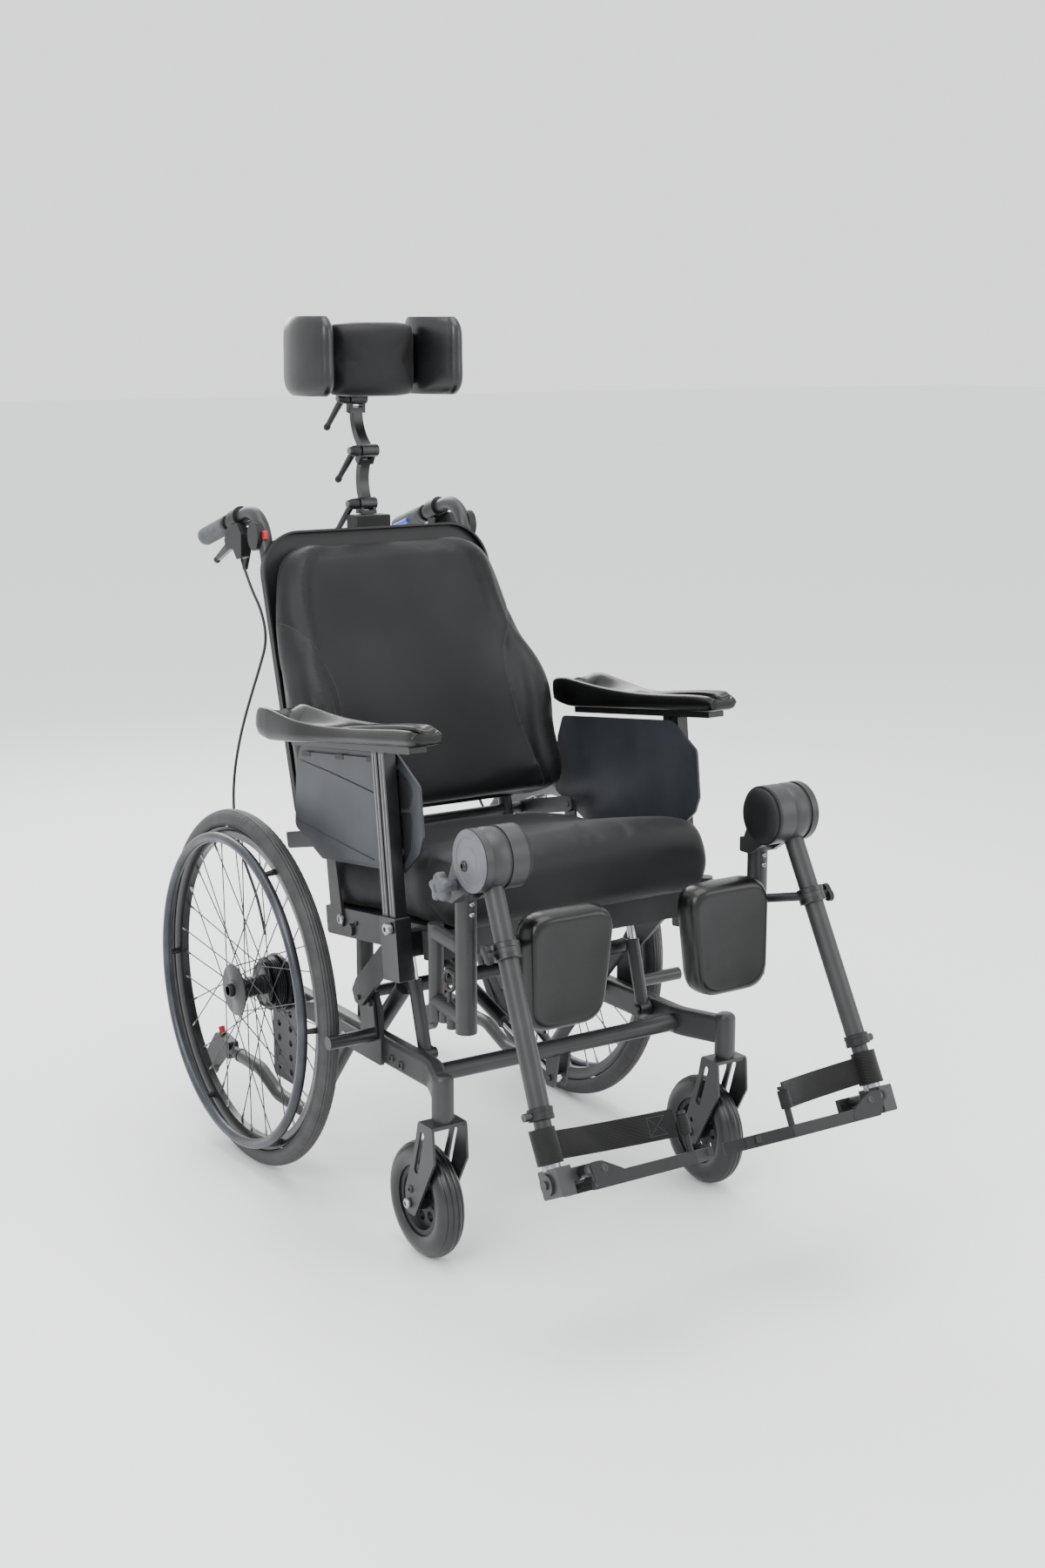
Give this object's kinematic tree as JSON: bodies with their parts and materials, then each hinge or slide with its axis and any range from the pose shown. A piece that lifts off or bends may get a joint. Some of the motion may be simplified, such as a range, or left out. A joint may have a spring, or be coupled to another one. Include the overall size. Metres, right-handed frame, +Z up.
{
  "type": "tilt in space wheelchair",
  "caption": "Manual wheelchair whose seat unit tilts and whose back reclines, with spoked rear wheels, casters, elevating legrests with calf pads, and a jointed headrest.",
  "frame": {"origin": "on the floor below the middle of the bounding box", "axes": "+Z up, the front faces -Y, the user's right is -X"},
  "size_m": [0.7208, 1.3304, 1.419],
  "materials": {
    "frame_paint": "anthracite powder coat, fine texture",
    "dark_metal": "black satin coating",
    "polished_steel": "polished rod",
    "tyre_rubber": "grey black rubber",
    "matte_plastic": "moulded, fine grain",
    "gloss_plastic": "glossy moulded foam skin",
    "cover_fabric": "smooth coated cover fabric",
    "brushed_aluminium": "anodised grey",
    "grip_rubber": "ribbed grip rubber",
    "webbing": "woven nylon webbing"
  },
  "bodies": {
    "base": {"side_frame_right": "frame_paint", "side_frame_left": "frame_paint", "base_cross_tubes": "frame_paint", "axle_mounts": "dark_metal"},
    "seat": {"seat_frame": "frame_paint", "seat_pan": "dark_metal", "seat_cushion": "cover_fabric", "armrest_receivers": "dark_metal", "brake_cables": "matte_plastic"},
    "back": {"back_canes": "frame_paint", "back_shell": "matte_plastic", "back_cushion": "cover_fabric", "push_grips": "grip_rubber", "lever_housings": "matte_plastic"},
    "strut_tubes": {"tilt_strut_tubes": "dark_metal"},
    "strut_rods": {"tilt_strut_rods": "polished_steel"},
    "tilt_spring_rod": {"tilt_spring_rod": "polished_steel"},
    "tilt_spring_cylinder": {"tilt_spring_cylinder": "dark_metal"},
    "recline_spring_cylinder": {"recline_spring_cylinder": "dark_metal"},
    "recline_spring_rod": {"recline_spring_rod": "polished_steel"},
    "tilt_trigger": {"tilt_trigger": "matte_plastic"},
    "recline_trigger": {"recline_trigger": "matte_plastic"},
    "headrest_post": {"headrest_post": "dark_metal"},
    "headrest_lower_link": {"headrest_lower_link": "dark_metal"},
    "headrest_upper_link": {"headrest_upper_link": "dark_metal"},
    "headrest_pad": {"headrest_pad": "cover_fabric"},
    "wheel_right": {"rear_tyre_right": "tyre_rubber", "rear_wheel_right": "dark_metal"},
    "fork_right": {"caster_fork_right": "frame_paint"},
    "caster_right": {"caster_wheel_right": "tyre_rubber"},
    "lock_lever_right": {"wheel_lock_lever_right": "dark_metal"},
    "lock_arm_right": {"wheel_lock_arm_right": "dark_metal"},
    "anti_tipper_right": {"anti_tipper_right": "matte_plastic"},
    "armrest_right": {"armrest_frame_right": "frame_paint", "armrest_pad_right": "gloss_plastic", "side_panel_right": "matte_plastic"},
    "hanger_right": {"legrest_hanger_right": "frame_paint"},
    "leg_right": {"leg_tube_right": "frame_paint"},
    "foot_right": {"foot_tube_right": "brushed_aluminium", "heel_strap_right": "webbing"},
    "plate_right": {"footplate_right": "dark_metal"},
    "calf_right": {"calf_pad_right": "gloss_plastic"},
    "brake_lever_right": {"brake_lever_right": "dark_metal"},
    "wheel_left": {"rear_tyre_left": "tyre_rubber", "rear_wheel_left": "dark_metal"},
    "fork_left": {"caster_fork_left": "frame_paint"},
    "caster_left": {"caster_wheel_left": "tyre_rubber"},
    "lock_lever_left": {"wheel_lock_lever_left": "dark_metal"},
    "lock_arm_left": {"wheel_lock_arm_left": "dark_metal"},
    "anti_tipper_left": {"anti_tipper_left": "matte_plastic"},
    "armrest_left": {"armrest_frame_left": "frame_paint", "armrest_pad_left": "gloss_plastic", "side_panel_left": "matte_plastic"},
    "hanger_left": {"legrest_hanger_left": "frame_paint"},
    "leg_left": {"leg_tube_left": "frame_paint"},
    "foot_left": {"foot_tube_left": "brushed_aluminium", "heel_strap_left": "webbing"},
    "plate_left": {"footplate_left": "dark_metal"},
    "calf_left": {"calf_pad_left": "gloss_plastic"},
    "brake_lever_left": {"brake_lever_left": "dark_metal"}
  },
  "joints": [
    {"name": "tilt", "type": "hinge", "parent": "base", "child": "seat", "pos_m": [0, 0.06542, 0.445], "axis": [-1, 0, 0], "range_deg": [-7, 18], "deforming": ["brake_cables"]},
    {"name": "recline", "type": "hinge", "parent": "seat", "child": "back", "pos_m": [0, 0.13242, 0.585], "axis": [-1, 0, 0], "range_deg": [0, 30], "deforming": ["brake_cables"]},
    {"name": "strut_swing", "type": "hinge", "parent": "base", "child": "strut_tubes", "pos_m": [0, -0.12559, 0.284], "axis": [-1, 0, 0], "range_deg": [-1, 1]},
    {"name": "strut_slide", "type": "slide", "parent": "strut_tubes", "child": "strut_rods", "axis": [0, 0.2754, 0.9613], "range_m": [-0.018, 0.045]},
    {"name": "tilt_spring_swing", "type": "hinge", "parent": "base", "child": "tilt_spring_rod", "pos_m": [0, -0.17958, 0.222], "axis": [-1, 0, 0], "range_deg": [-1.2, 2.6]},
    {"name": "tilt_spring_slide", "type": "slide", "parent": "tilt_spring_rod", "child": "tilt_spring_cylinder", "axis": [0, 0.9536, 0.3011], "range_m": [-0.0465, 0.0185]},
    {"name": "recline_spring_swing", "type": "hinge", "parent": "seat", "child": "recline_spring_cylinder", "pos_m": [0, 0.27742, 0.415], "axis": [-1, 0, 0], "range_deg": [0, 20.5]},
    {"name": "recline_spring_slide", "type": "slide", "parent": "recline_spring_cylinder", "child": "recline_spring_rod", "axis": [0, 0.3311, 0.9436], "range_m": [-0.1085, 0]},
    {"name": "wheel_spin_right", "type": "hinge", "parent": "base", "child": "wheel_right", "pos_m": [0, 0.28242, 0.305], "axis": [1, 0, 0], "continuous": true},
    {"name": "caster_swivel_right", "type": "hinge", "parent": "base", "child": "fork_right", "pos_m": [-0.269, -0.27359, 0.237], "axis": [0, 0, 1], "continuous": true},
    {"name": "caster_spin_right", "type": "hinge", "parent": "fork_right", "child": "caster_right", "pos_m": [-0.269, -0.22359, 0.091], "axis": [1, 0, 0], "continuous": true},
    {"name": "lock_lever_turn_right", "type": "hinge", "parent": "base", "child": "lock_lever_right", "pos_m": [-0.262, -0.01558, 0.358], "axis": [-1, 0, 0], "range_deg": [0, 35]},
    {"name": "lock_arm_turn_right", "type": "hinge", "parent": "base", "child": "lock_arm_right", "pos_m": [-0.26, -0.03959, 0.352], "axis": [-1, 0, 0], "range_deg": [-17, 0]},
    {"name": "anti_tipper_turn_right", "type": "hinge", "parent": "base", "child": "anti_tipper_right", "pos_m": [-0.238, 0.45242, 0.106], "axis": [0, -1, 0], "range_deg": [0, 180]},
    {"name": "armrest_slide_right", "type": "slide", "parent": "seat", "child": "armrest_right", "axis": [0, 0.1219, 0.9925], "range_m": [0, 0.08]},
    {"name": "legrest_swing_right", "type": "hinge", "parent": "seat", "child": "hanger_right", "pos_m": [-0.254, -0.23258, 0.45], "axis": [0, 0, -1], "range_deg": [0, 90]},
    {"name": "leg_elevation_right", "type": "hinge", "parent": "hanger_right", "child": "leg_right", "pos_m": [-0.272, -0.40658, 0.667], "axis": [-1, 0, 0], "range_deg": [-10, 55]},
    {"name": "foot_length_right", "type": "slide", "parent": "leg_right", "child": "foot_right", "axis": [-0.045, -0.4442, -0.8948], "range_m": [0, 0.08]},
    {"name": "footplate_flip_right", "type": "hinge", "parent": "foot_right", "child": "plate_right", "pos_m": [-0.264, -0.608, 0.26124], "axis": [0, -0.8957, 0.4446], "range_deg": [0, 80], "deforming": ["heel_strap_right"]},
    {"name": "calf_pad_turn_right", "type": "hinge", "parent": "leg_right", "child": "calf_right", "pos_m": [-0.209, -0.38159, 0.528], "axis": [-1, 0, 0], "range_deg": [-10, 12]},
    {"name": "brake_lever_pull_right", "type": "hinge", "parent": "back", "child": "brake_lever_right", "pos_m": [-0.213, 0.50897, 1.03686], "axis": [1, 0, 0], "range_deg": [0, 14], "stiffness_Nm_per_rad": 1.5},
    {"name": "wheel_spin_left", "type": "hinge", "parent": "base", "child": "wheel_left", "pos_m": [0, 0.28242, 0.305], "axis": [1, 0, 0], "continuous": true},
    {"name": "caster_swivel_left", "type": "hinge", "parent": "base", "child": "fork_left", "pos_m": [0.269, -0.27359, 0.237], "axis": [0, 0, 1], "continuous": true},
    {"name": "caster_spin_left", "type": "hinge", "parent": "fork_left", "child": "caster_left", "pos_m": [0.269, -0.22359, 0.091], "axis": [1, 0, 0], "continuous": true},
    {"name": "lock_lever_turn_left", "type": "hinge", "parent": "base", "child": "lock_lever_left", "pos_m": [0.262, -0.01558, 0.358], "axis": [-1, 0, 0], "range_deg": [0, 35]},
    {"name": "lock_arm_turn_left", "type": "hinge", "parent": "base", "child": "lock_arm_left", "pos_m": [0.26, -0.03959, 0.352], "axis": [-1, 0, 0], "range_deg": [-17, 0]},
    {"name": "anti_tipper_turn_left", "type": "hinge", "parent": "base", "child": "anti_tipper_left", "pos_m": [0.238, 0.45242, 0.106], "axis": [0, 1, 0], "range_deg": [0, 180]},
    {"name": "armrest_slide_left", "type": "slide", "parent": "seat", "child": "armrest_left", "axis": [0, 0.1219, 0.9925], "range_m": [0, 0.08]},
    {"name": "legrest_swing_left", "type": "hinge", "parent": "seat", "child": "hanger_left", "pos_m": [0.254, -0.23258, 0.45], "axis": [0, 0, 1], "range_deg": [0, 90]},
    {"name": "leg_elevation_left", "type": "hinge", "parent": "hanger_left", "child": "leg_left", "pos_m": [0.272, -0.40658, 0.667], "axis": [-1, 0, 0], "range_deg": [-10, 55]},
    {"name": "foot_length_left", "type": "slide", "parent": "leg_left", "child": "foot_left", "axis": [0.045, -0.4442, -0.8948], "range_m": [0, 0.08]},
    {"name": "footplate_flip_left", "type": "hinge", "parent": "foot_left", "child": "plate_left", "pos_m": [0.264, -0.608, 0.26124], "axis": [0, 0.8957, -0.4446], "range_deg": [0, 80], "deforming": ["heel_strap_left"]},
    {"name": "calf_pad_turn_left", "type": "hinge", "parent": "leg_left", "child": "calf_left", "pos_m": [0.209, -0.38159, 0.528], "axis": [-1, 0, 0], "range_deg": [-10, 12]},
    {"name": "brake_lever_pull_left", "type": "hinge", "parent": "back", "child": "brake_lever_left", "pos_m": [0.213, 0.50897, 1.03686], "axis": [1, 0, 0], "range_deg": [0, 14], "stiffness_Nm_per_rad": 1.5},
    {"name": "recline_trigger_pull", "type": "hinge", "parent": "back", "child": "recline_trigger", "pos_m": [-0.1845, 0.51897, 1.02686], "axis": [1, 0, 0], "range_deg": [0, 15], "stiffness_Nm_per_rad": 0.6},
    {"name": "tilt_trigger_pull", "type": "hinge", "parent": "back", "child": "tilt_trigger", "pos_m": [0.1845, 0.51897, 1.02686], "axis": [1, 0, 0], "range_deg": [0, 15], "stiffness_Nm_per_rad": 0.6},
    {"name": "headrest_slide", "type": "slide", "parent": "back", "child": "headrest_post", "axis": [0, 0, 1], "range_m": [0, 0.05]},
    {"name": "headrest_lower_turn", "type": "hinge", "parent": "headrest_post", "child": "headrest_lower_link", "pos_m": [0, 0.42241, 1.099], "axis": [-1, 0, 0], "range_deg": [-20, 15]},
    {"name": "headrest_middle_turn", "type": "hinge", "parent": "headrest_lower_link", "child": "headrest_upper_link", "pos_m": [0, 0.41341, 1.191], "axis": [-1, 0, 0], "range_deg": [-20, 8]},
    {"name": "headrest_upper_turn", "type": "hinge", "parent": "headrest_upper_link", "child": "headrest_pad", "pos_m": [0, 0.45242, 1.28], "axis": [-1, 0, 0], "range_deg": [-20, 20]}
  ],
  "couplings": [
    {"joint": "strut_swing", "follows": "tilt", "ratio": -0.0276},
    {"joint": "strut_slide", "follows": "tilt", "m_per_rad": 0.14037},
    {"joint": "tilt_spring_swing", "follows": "tilt", "ratio": 0.1295},
    {"joint": "tilt_spring_slide", "follows": "tilt", "m_per_rad": -0.14334},
    {"joint": "recline_spring_swing", "follows": "recline", "ratio": 0.6732},
    {"joint": "recline_spring_slide", "follows": "recline", "m_per_rad": -0.20542},
    {"joint": "lock_arm_turn_right", "follows": "lock_lever_turn_right", "ratio": -0.457},
    {"joint": "lock_arm_turn_left", "follows": "lock_lever_turn_left", "ratio": -0.457}
  ]
}
